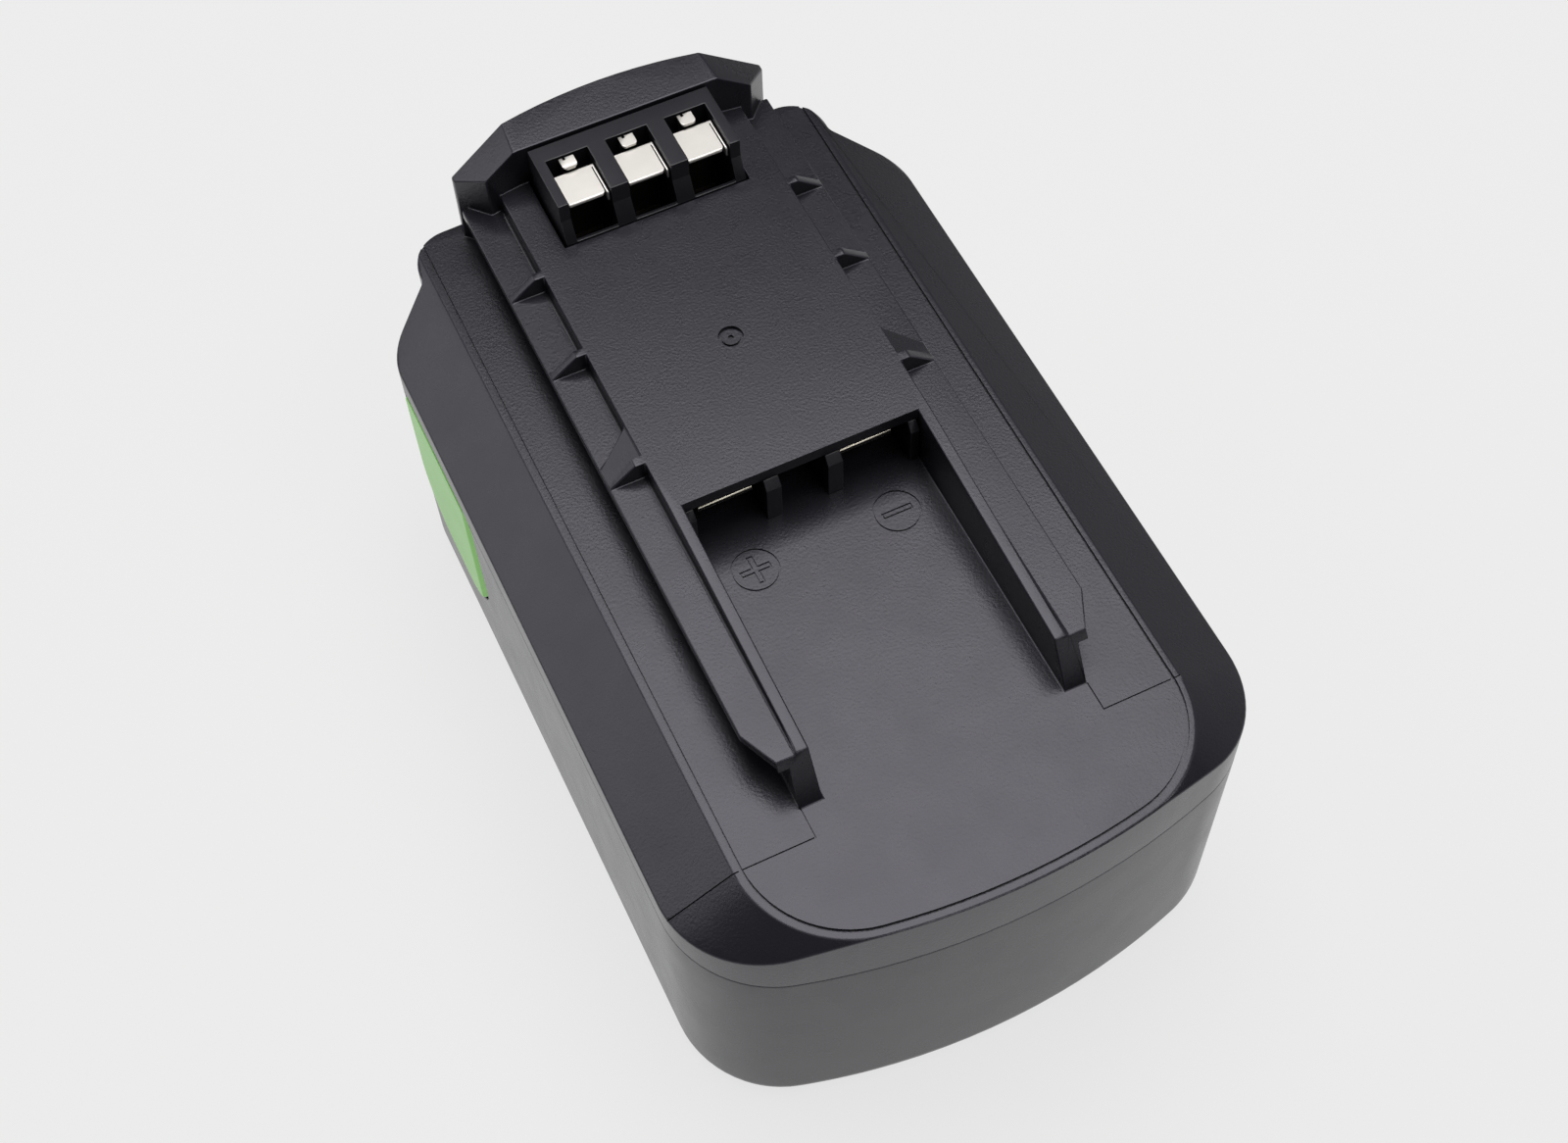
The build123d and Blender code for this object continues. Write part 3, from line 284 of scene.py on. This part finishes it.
def moulded(
    name, colour, roughness, grain=1.0, spread=0.03, fine=1.0, ior=1.5, sheen=(1.0, 1.0, 1.0)
):
    """Moulded plastic: fine grain, slow mottling of its colour, and uneven gloss."""
    material, nodes, links, shader = new_material(name)
    shader.inputs["IOR"].default_value = ior
    shader.inputs["Specular Tint"].default_value = (*sheen, 1.0)
    slow = noise(nodes, links, 45.0, 4.0)
    dark, light = tint(colour, 1 - spread), tint(colour, 1 + spread)
    tone = ramp(nodes, links, slow.outputs["Fac"], dark, light)
    links.new(tone.outputs["Color"], shader.inputs["Base Color"])
    patches = noise(nodes, links, 160.0, 5.0)
    smooth, rough = grey(roughness - 0.02), grey(roughness + 0.02)
    gloss = ramp(nodes, links, patches.outputs["Fac"], smooth, rough)
    links.new(gloss.outputs["Color"], shader.inputs["Roughness"])
    grains = noise(nodes, links, fine / sizes().grain_size, 2.0)
    bump = nodes.new("ShaderNodeBump")
    bump.inputs["Strength"].default_value = min(1.0, grain)
    bump.inputs["Distance"].default_value = sizes().grain_depth * grain
    links.new(grains.outputs["Fac"], bump.inputs["Height"])
    links.new(bump.outputs["Normal"], shader.inputs["Normal"])
    return material


def sheet_metal(name, colour, roughness, stretch=STREAKS_ACROSS, stain=0.12):
    """Plated sheet: brushed streaks, faint stains and uneven gloss."""
    material, nodes, links, shader = new_material(name)
    shader.inputs["Metallic"].default_value = 1.0
    place = nodes.new("ShaderNodeTexCoord")
    mapping = nodes.new("ShaderNodeMapping")
    mapping.inputs["Scale"].default_value = stretch
    streaks = nodes.new("ShaderNodeTexNoise")
    streaks.inputs["Scale"].default_value = 900.0
    streaks.inputs["Detail"].default_value = 4.0
    links.new(place.outputs["Object"], mapping.inputs["Vector"])
    links.new(mapping.outputs["Vector"], streaks.inputs["Vector"])
    smooth, rough = grey(roughness - 0.03), grey(roughness + 0.04)
    gloss = ramp(nodes, links, streaks.outputs["Fac"], smooth, rough)
    links.new(gloss.outputs["Color"], shader.inputs["Roughness"])
    stains = noise(nodes, links, 420.0, 5.0)
    tone = ramp(nodes, links, stains.outputs["Fac"], tint(colour, 1 - stain), tint(colour, 1.0))
    links.new(tone.outputs["Color"], shader.inputs["Base Color"])
    bump = nodes.new("ShaderNodeBump")
    bump.inputs["Strength"].default_value = 0.25
    bump.inputs["Distance"].default_value = 0.004 * MM
    links.new(streaks.outputs["Fac"], bump.inputs["Height"])
    links.new(bump.outputs["Normal"], shader.inputs["Normal"])
    return material


def board_mask(name, colour):
    """Solder mask with faint copper traces under it."""
    material, nodes, links, shader = new_material(name)
    shader.inputs["Roughness"].default_value = 0.3
    place = nodes.new("ShaderNodeTexCoord")
    bricks = nodes.new("ShaderNodeTexBrick")
    bricks.inputs["Scale"].default_value = 160.0
    bricks.inputs["Mortar Size"].default_value = 0.06
    bricks.inputs["Color1"].default_value = tint(colour, 0.9)
    bricks.inputs["Color2"].default_value = tint(colour, 1.0)
    bricks.inputs["Mortar"].default_value = tint(colour, 1.5)
    links.new(place.outputs["Object"], bricks.inputs["Vector"])
    links.new(bricks.outputs["Color"], shader.inputs["Base Color"])
    bump = nodes.new("ShaderNodeBump")
    bump.inputs["Distance"].default_value = 0.03 * MM
    links.new(bricks.outputs["Fac"], bump.inputs["Height"])
    links.new(bump.outputs["Normal"], shader.inputs["Normal"])
    return material


def banded(name, colour, band_scale, roughness):
    """Printed wrapper: soft bands along X, mottling and uneven gloss."""
    material, nodes, links, shader = new_material(name)
    place = nodes.new("ShaderNodeTexCoord")
    wave = nodes.new("ShaderNodeTexWave")
    wave.inputs["Scale"].default_value = band_scale
    wave.inputs["Distortion"].default_value = 1.5
    links.new(place.outputs["Object"], wave.inputs["Vector"])
    tone = ramp(nodes, links, wave.outputs["Fac"], tint(colour, 0.88), tint(colour, 1.08))
    links.new(tone.outputs["Color"], shader.inputs["Base Color"])
    patches = noise(nodes, links, 260.0, 4.0)
    smooth, rough = grey(roughness - 0.06), grey(roughness + 0.06)
    gloss = ramp(nodes, links, patches.outputs["Fac"], smooth, rough)
    links.new(gloss.outputs["Color"], shader.inputs["Roughness"])
    bump = nodes.new("ShaderNodeBump")
    bump.inputs["Strength"].default_value = 0.3
    bump.inputs["Distance"].default_value = 0.02 * MM
    links.new(patches.outputs["Fac"], bump.inputs["Height"])
    links.new(bump.outputs["Normal"], shader.inputs["Normal"])
    return material


MATERIALS = {}


def material(name):
    """Material by name, made when it is first asked for."""
    if not MATERIALS:
        tones = colours()
        MATERIALS.update(
            {
                "case": moulded("charcoal_case", tones.case, 0.28, sheen=tones.sheen),
                # The case's rounded edges are painted 1.5 times lighter than the case: a painted
                # highlight along the edges
                "case_edge": moulded(
                    "charcoal_edge_highlight", tint(tones.case, 1.5)[:3], 0.3, 0.3, sheen=tones.sheen
                ),
                "tub": moulded(
                    "charcoal_tub", tones.case, 0.27, 0.45, fine=0.8, ior=1.41, sheen=tones.sheen
                ),
                "block": moulded("black_block", tones.block, 0.31, 0.5, sheen=tones.sheen),
                # The block's rounded edges are painted 1.6 times lighter than the block: a painted
                # highlight along the edges
                "block_edge": moulded(
                    "black_block_edge_highlight", tint(tones.block, 1.6)[:3], 0.34, grain=0.3
                ),
                "button": moulded("green_button", tones.button, 0.3, grain=0.3, spread=0.05),
                "nickel": sheet_metal("nickel_plate", tones.nickel, 0.42, stain=0.05),
                "blade": sheet_metal("plated_blade", tones.blade, 0.2, STREAKS_ALONG),
                # Dark, rough nickel for the contact faces deep in the bay: painted shade
                "shade_painted_nickel": sheet_metal("shade_painted_nickel", (0.10, 0.09, 0.075), 0.6, stain=0.3),
                # Dark metal for the blades' front faces: painted shade under the island's edge
                "blade_cut": sheet_metal("blade_cut", (0.06, 0.055, 0.05), 0.5, STREAKS_ALONG),
                "steel": sheet_metal("zinc_steel", (0.62, 0.62, 0.60), 0.34, STREAKS_FLAT),
                "wire": sheet_metal("spring_wire", (0.58, 0.58, 0.56), 0.3, STREAKS_ALONG),
                "wrap": banded("cell_wrap", (0.10, 0.26, 0.52), 120.0, 0.38),
                "paper": moulded("insulating_paper", (0.62, 0.58, 0.46), 0.8, grain=1.4, fine=0.5),
                "holder": moulded("holder_plastic", (0.05, 0.05, 0.055), 0.5, grain=0.6),
                "foam": moulded("foam_strip", (0.05, 0.05, 0.05), 0.9, grain=3.0, fine=0.4),
                "seal": moulded("seal_rubber", (0.02, 0.02, 0.02), 0.7, grain=0.6),
                "board": board_mask("circuit_board", (0.015, 0.12, 0.05)),
                "epoxy": moulded("component_epoxy", (0.02, 0.02, 0.022), 0.5, grain=1.2, fine=1.5),
                "ceramic": moulded("capacitor_ceramic", (0.36, 0.27, 0.18), 0.55, grain=0.8),
                "shunt": sheet_metal("copper_shunt", (0.72, 0.42, 0.27), 0.32, STREAKS_ALONG),
            }
        )
    return MATERIALS[name]


def wear(piece, *names):
    """Gives a piece its materials, replacing those it came with."""
    piece.data.materials.clear()
    for name in names:
        piece.data.materials.append(material(name))


def dress_node(node, name):
    """A CAD node that keeps its shape gets its material."""
    wear(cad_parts[node], name)


def clean_copy(node, name):
    """Merged copy of a CAD node, with its flat faces whole again."""
    deselect()
    piece = bpy.data.objects.new(name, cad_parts[node].data.copy())
    bpy.context.collection.objects.link(piece)
    make_active(piece)
    bpy.ops.object.mode_set(mode="EDIT")
    bpy.ops.mesh.select_all(action="SELECT")
    bpy.ops.mesh.customdata_custom_splitnormals_clear()
    bpy.ops.mesh.remove_doubles(threshold=MERGE_DISTANCE)
    bpy.ops.mesh.dissolve_limited(angle_limit=FLAT_ANGLE)
    bpy.ops.object.mode_set(mode="OBJECT")
    return piece


def region_breadths(shape):
    """Breadth of each face's smooth region, as of a strip with the same area and border."""
    breadths = {}
    for first in shape.faces:
        if first.index in breadths:
            continue
        region, waiting = {first.index}, [first]
        area = border = 0.0
        while waiting:
            face = waiting.pop()
            area += face.calc_area()
            for edge in face.edges:
                if edge.calc_face_angle(math.pi) > sizes().sharp_angle:
                    border += edge.calc_length()
                    continue
                for other in edge.link_faces:
                    if other.index not in region:
                        region.add(other.index)
                        waiting.append(other)
        breadths.update(dict.fromkeys(region, 2 * area / border if border else math.inf))
    return breadths


def round_edges(piece, width, segments, edge_material):
    """Rounds the sharp edges whose faces have room for it, and smooths the shading."""
    shape = bmesh.new()
    shape.from_mesh(piece.data)
    weight = shape.edges.layers.float.get("bevel_weight_edge")
    weight = weight or shape.edges.layers.float.new("bevel_weight_edge")
    breadths = region_breadths(shape)
    for edge in shape.edges:
        if len(edge.link_faces) != 2:
            continue
        least = width * ROOM_FOR_BEVEL
        roomy = all(breadths[face.index] > least for face in edge.link_faces)
        sharp = edge.calc_face_angle(0) > sizes().sharp_angle
        edge[weight] = 1.0 if roomy and sharp else 0.0
    shape.to_mesh(piece.data)
    shape.free()
    make_active(piece)
    bevel = piece.modifiers.new("edges", "BEVEL")
    bevel.limit_method = "WEIGHT"
    bevel.width = width
    bevel.segments = segments
    bevel.use_clamp_overlap = False
    # The rounded faces take the last material; for the case and the block that is the lighter one,
    # a painted edge highlight
    bevel.material = edge_material
    bpy.ops.object.modifier_apply(modifier=bevel.name)
    bpy.ops.object.mode_set(mode="EDIT")
    bpy.ops.mesh.select_all(action="SELECT")
    bpy.ops.mesh.quads_convert_to_tris(quad_method="BEAUTY", ngon_method="BEAUTY")
    bpy.ops.object.mode_set(mode="OBJECT")
    bpy.ops.object.shade_smooth_by_angle(angle=SMOOTH_ANGLE)
    normals = piece.modifiers.new("normals", "WEIGHTED_NORMAL")
    normals.keep_sharp = True
    bpy.ops.object.modifier_apply(modifier=normals.name)


def paint_faces(piece, index, test):
    """Gives one of a piece's materials to the faces that pass a test."""
    for face in piece.data.polygons:
        if test(face):
            face.material_index = index


def finished(piece, node, body, slot, width, *names, segments=2):
    """Gives a reworked copy of a CAD node its edges and looks, in the node's place."""
    wear(piece, *names)
    round_edges(piece, width, segments, len(names) - 1)
    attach(piece, body)
    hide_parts(node)


def dressed(node, name, *looks, segments=2):
    """Rounded copy of a CAD node that stands for it."""
    piece = clean_copy(node, name)
    finished(piece, node, *looks, segments=segments)
    return piece


def bevel_where(piece, test, offset, segments):
    """Bevels the edges whose two ends pass a test."""
    make_active(piece)
    points = piece.data.vertices
    for element in (*piece.data.polygons, *points):
        element.select = False
    for edge in piece.data.edges:
        start, end = (points[index].co for index in edge.vertices)
        edge.select = test(start, end)
    bpy.ops.object.mode_set(mode="EDIT")
    bpy.ops.mesh.select_mode(type="EDGE")
    bpy.ops.mesh.bevel(offset=offset, segments=segments)
    bpy.ops.object.mode_set(mode="OBJECT")


def signal_contact(name):
    """Signal contact with a rolled front edge on its plate, a cut corner and a rounded tab."""
    node = f"signal_contact_{name}"
    piece = clean_copy(node, f"contact_{name}")
    low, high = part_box(node)
    points = [point.co for point in piece.data.vertices]
    tab_front = min(point.y for point in points if point.z > high.z - NEAR)
    front = [point for point in points if point.y < low.y + NEAR]
    plate_top = max(point.z for point in front)
    strip_left = max(point.x for point in front if point.x < high.x - NEAR)
    plate_right = max(point.x for point in front if point.x < strip_left - NEAR)

    def upright(start, end, y, top):
        off = max(abs(start.y - y), abs(end.y - y), abs(start.x - end.x))
        return off < NEAR and max(start.z, end.z) > top - NEAR and start.z != end.z

    def tab_edge(start, end):
        return upright(start, end, tab_front, high.z)

    def plate_edge(start, end):
        return upright(start, end, low.y, plate_top) and abs(start.x - plate_right) < NEAR

    def plate_front(start, end):
        forward = max(start.y, end.y) < low.y + NEAR
        return forward and min(start.z, end.z) > plate_top - NEAR

    bevel_where(piece, tab_edge, sizes().tab_corner, 6)
    bevel_where(piece, plate_edge, sizes().plate_cut, 1)
    bevel_where(piece, plate_front, sizes().plate_roll, 4)
    finished(piece, node, "pack", "nickel", sizes().contact_edge, "shade_painted_nickel", "nickel")
    # Faces lower than the shaded depth below the plate are painted dark as painted shade; the rest
    # keep the bright nickel
    shade_top = plate_top - sizes().shaded_depth
    paint_faces(piece, 1, lambda face: face.center.z > shade_top)
    paint_faces(piece, 0, lambda face: face.center.z < shade_top)


def camera_turn():
    """Rotation of the camera from its azimuth, elevation and roll."""
    settings = stage_settings()
    turn = Matrix.Rotation(settings.azimuth, 3, "Z")
    tilt = Matrix.Rotation(math.pi / 2 - settings.elevation, 3, "X")
    roll = Matrix.Rotation(settings.roll, 3, "Z")
    return (turn @ tilt @ roll).to_euler()


def softbox(name, place, width, height, power):
    """Rectangular area light that faces the pack."""
    deselect()
    bpy.ops.object.light_add(type="AREA", location=place)
    lamp = bpy.context.object
    lamp.name = name
    lamp.data.shape = "RECTANGLE"
    lamp.data.size = width
    lamp.data.size_y = height
    lamp.data.energy = power
    lamp.rotation_euler = (Vector(PACK_MIDDLE) - Vector(place)).to_track_quat("-Z", "Y").to_euler()


def floor_material():
    """Pale paper, lit from within, with a barely visible mottling."""
    paper, nodes, links, shader = new_material("floor_paper")
    shader.inputs["Roughness"].default_value = 0.9
    shader.inputs["Emission Color"].default_value = (1.0, 1.0, 1.0, 1.0)
    shader.inputs["Emission Strength"].default_value = stage_settings().floor_glow
    slow = noise(nodes, links, 3.0)
    dark, light = tint(colours().floor, 0.995), tint(colours().floor, 1.0)
    tone = ramp(nodes, links, slow.outputs["Fac"], dark, light)
    links.new(tone.outputs["Color"], shader.inputs["Base Color"])
    return paper


def studio_world():
    """Dim room for the pack's reflections, with a pale backdrop behind it."""
    settings = stage_settings()
    world = bpy.data.worlds.new("studio")
    world.use_nodes = True
    nodes, links = world.node_tree.nodes, world.node_tree.links
    room = nodes["Background"]
    room.inputs["Strength"].default_value = settings.sky
    backdrop = nodes.new("ShaderNodeBackground")
    backdrop.inputs["Strength"].default_value = settings.backdrop
    for light in (room, backdrop):
        light.inputs["Color"].default_value = (1.0, 1.0, 1.0, 1.0)
    path = nodes.new("ShaderNodeLightPath")
    mix = nodes.new("ShaderNodeMixShader")
    links.new(path.outputs["Is Camera Ray"], mix.inputs["Fac"])
    links.new(room.outputs["Background"], mix.inputs[1])
    links.new(backdrop.outputs["Background"], mix.inputs[2])
    links.new(mix.outputs["Shader"], nodes["World Output"].inputs["Surface"])
    return world


class PACK_OT_stage(bpy.types.Operator):
    """Adds the camera, the pale floor and the soft light"""

    bl_idname = "pack.stage"
    bl_label = "Stage"

    def execute(self, context):
        settings = stage_settings()
        deselect()
        bpy.ops.object.camera_add(location=settings.camera_place, rotation=camera_turn())
        camera = context.object
        camera.name = "photo_camera"
        camera.data.sensor_width = SENSOR_WIDTH
        camera.data.lens = settings.lens
        camera.data.clip_start = 0.01
        context.scene.camera = camera
        deselect()
        bpy.ops.mesh.primitive_plane_add(size=FLOOR_WIDTH, location=(0, 0, 0))
        floor = context.object
        floor.name = "floor"
        floor.data.materials.append(floor_material())
        context.scene.world = studio_world()
        context.scene.view_settings.view_transform = "Standard"
        softbox("top_softbox", (0.10, 0.22, 1.05), 0.8, 0.8, settings.top_power)
        softbox("left_softbox", (-0.66, 0.52, 0.60), 0.55, 0.55, settings.left_power)
        softbox("right_softbox", (1.0, 0.2, 0.3), 1.0, 0.6, settings.right_power)
        softbox("front_softbox", (0.23, -0.98, 0.62), 0.3, 0.3, settings.front_power)
        softbox("near_softbox", (0.34, -0.48, 0.95), 0.85, 0.24, settings.near_power)
        return {"FINISHED"}


class PACK_OT_case(bpy.types.Operator):
    """Rounds and dresses the upper and lower case"""

    bl_idname = "pack.case"
    bl_label = "Case"

    def execute(self, context):
        edge = sizes().case_edge
        dressed("upper_case", "deck_cover", "pack", "case", edge, "case", "case_edge")
        dressed("lower_case", "cell_tub", "pack", "case", edge, "tub", "case_edge")
        dress_node("case_seal", "seal")
        dress_node("case_screws", "steel")
        return {"FINISHED"}


class PACK_OT_terminals(bpy.types.Operator):
    """Builds the signal contacts and dresses the blocks and power contacts"""

    bl_idname = "pack.terminals"
    bl_label = "Terminals"

    def execute(self, context):
        blocks = {"terminal_block": "signal_block", "contact_carrier": "blade_carrier"}
        blades = {"power_contact_positive": "blade_left", "power_contact_negative": "blade_right"}
        for node, name in blocks.items():
            dressed(
                node, name, "pack", "black_plastic", sizes().fine_edge, "block", "block_edge"
            )
        for node, name in blades.items():
            blade = dressed(
                node, name, "pack", "blade", sizes().contact_edge, "blade_cut", "blade"
            )
            # The front faces keep the dark metal as painted shade; all other faces get the bright
            # plating
            paint_faces(blade, 1, lambda face: face.normal.y > SHADED_FRONT_NORMAL)
        for name in THIRDS:
            signal_contact(name)
        return {"FINISHED"}


class PACK_OT_buttons(bpy.types.Operator):
    """Dresses the release buttons, their latch slides and springs"""

    bl_idname = "pack.buttons"
    bl_label = "Buttons"

    def execute(self, context):
        for side in SIDES:
            body = f"button_{side}"
            dressed(
                f"release_button_{side}", f"button_cap_{side}", body, "green_plastic",
                sizes().button_edge, "button", segments=3,
            )
            dressed(
                f"latch_slide_{side}", f"latch_{side}", body, "black_plastic",
                sizes().fine_edge, "block", "block_edge",
            )
            dress_node(f"button_spring_{side}", "wire")
        return {"FINISHED"}


class PACK_OT_inside(bpy.types.Operator):
    """Dresses the cells, holders, strips and the circuit board"""

    bl_idname = "pack.inside"
    bl_label = "Inside"

    def execute(self, context):
        looks = {
            "cell_rings": "paper",
            "foam_pads": "foam",
            "circuit_board": "board",
            "switching_transistors": "epoxy",
            "current_shunt": "shunt",
            "control_chip": "epoxy",
            "capacitors": "ceramic",
            "thermistor": "epoxy",
            "board_screws": "steel",
        }
        for side in SIDES:
            looks[f"cell_holder_{side}"] = "holder"
            looks[f"insulation_sheet_{side}"] = "paper"
        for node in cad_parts:
            if node.startswith("nickel_strip_"):
                looks[node] = "nickel"
            elif node.startswith("cell_") and node not in looks:
                looks[node] = "wrap"
        for node, name in looks.items():
            dress_node(node, name)
        return {"FINISHED"}


class PACK_PT_panel(bpy.types.Panel):
    """Lists the sizes, colours and steps of the battery pack."""

    bl_idname = "PACK_PT_panel"
    bl_label = "Battery pack"
    bl_space_type = "VIEW_3D"
    bl_region_type = "UI"
    bl_category = "Battery pack"

    def draw(self, context):
        layout = self.layout
        for group in (sizes(), colours(), stage_settings()):
            for name in group.bl_rna.properties.keys():
                if name not in ("rna_type", "name"):
                    layout.prop(group, name)
        for step in STEPS:
            layout.operator(step.bl_idname)


GROUPS = (PackSizes, PackColours, PackStage)
STEPS = (PACK_OT_stage, PACK_OT_case, PACK_OT_terminals, PACK_OT_buttons, PACK_OT_inside)


def register():
    for group in GROUPS + STEPS + (PACK_PT_panel,):
        bpy.utils.register_class(group)
    bpy.types.Scene.pack_sizes = bpy.props.PointerProperty(type=PackSizes)
    bpy.types.Scene.pack_colours = bpy.props.PointerProperty(type=PackColours)
    bpy.types.Scene.pack_stage = bpy.props.PointerProperty(type=PackStage)


def unregister():
    del bpy.types.Scene.pack_stage
    del bpy.types.Scene.pack_colours
    del bpy.types.Scene.pack_sizes
    for group in reversed(GROUPS + STEPS + (PACK_PT_panel,)):
        bpy.utils.unregister_class(group)


def main():
    """Builds the pack step by step."""
    register()
    bpy.ops.pack.stage()
    bpy.ops.pack.case()
    bpy.ops.pack.terminals()
    bpy.ops.pack.buttons()
    bpy.ops.pack.inside()


if __name__ == "__main__":
    main()
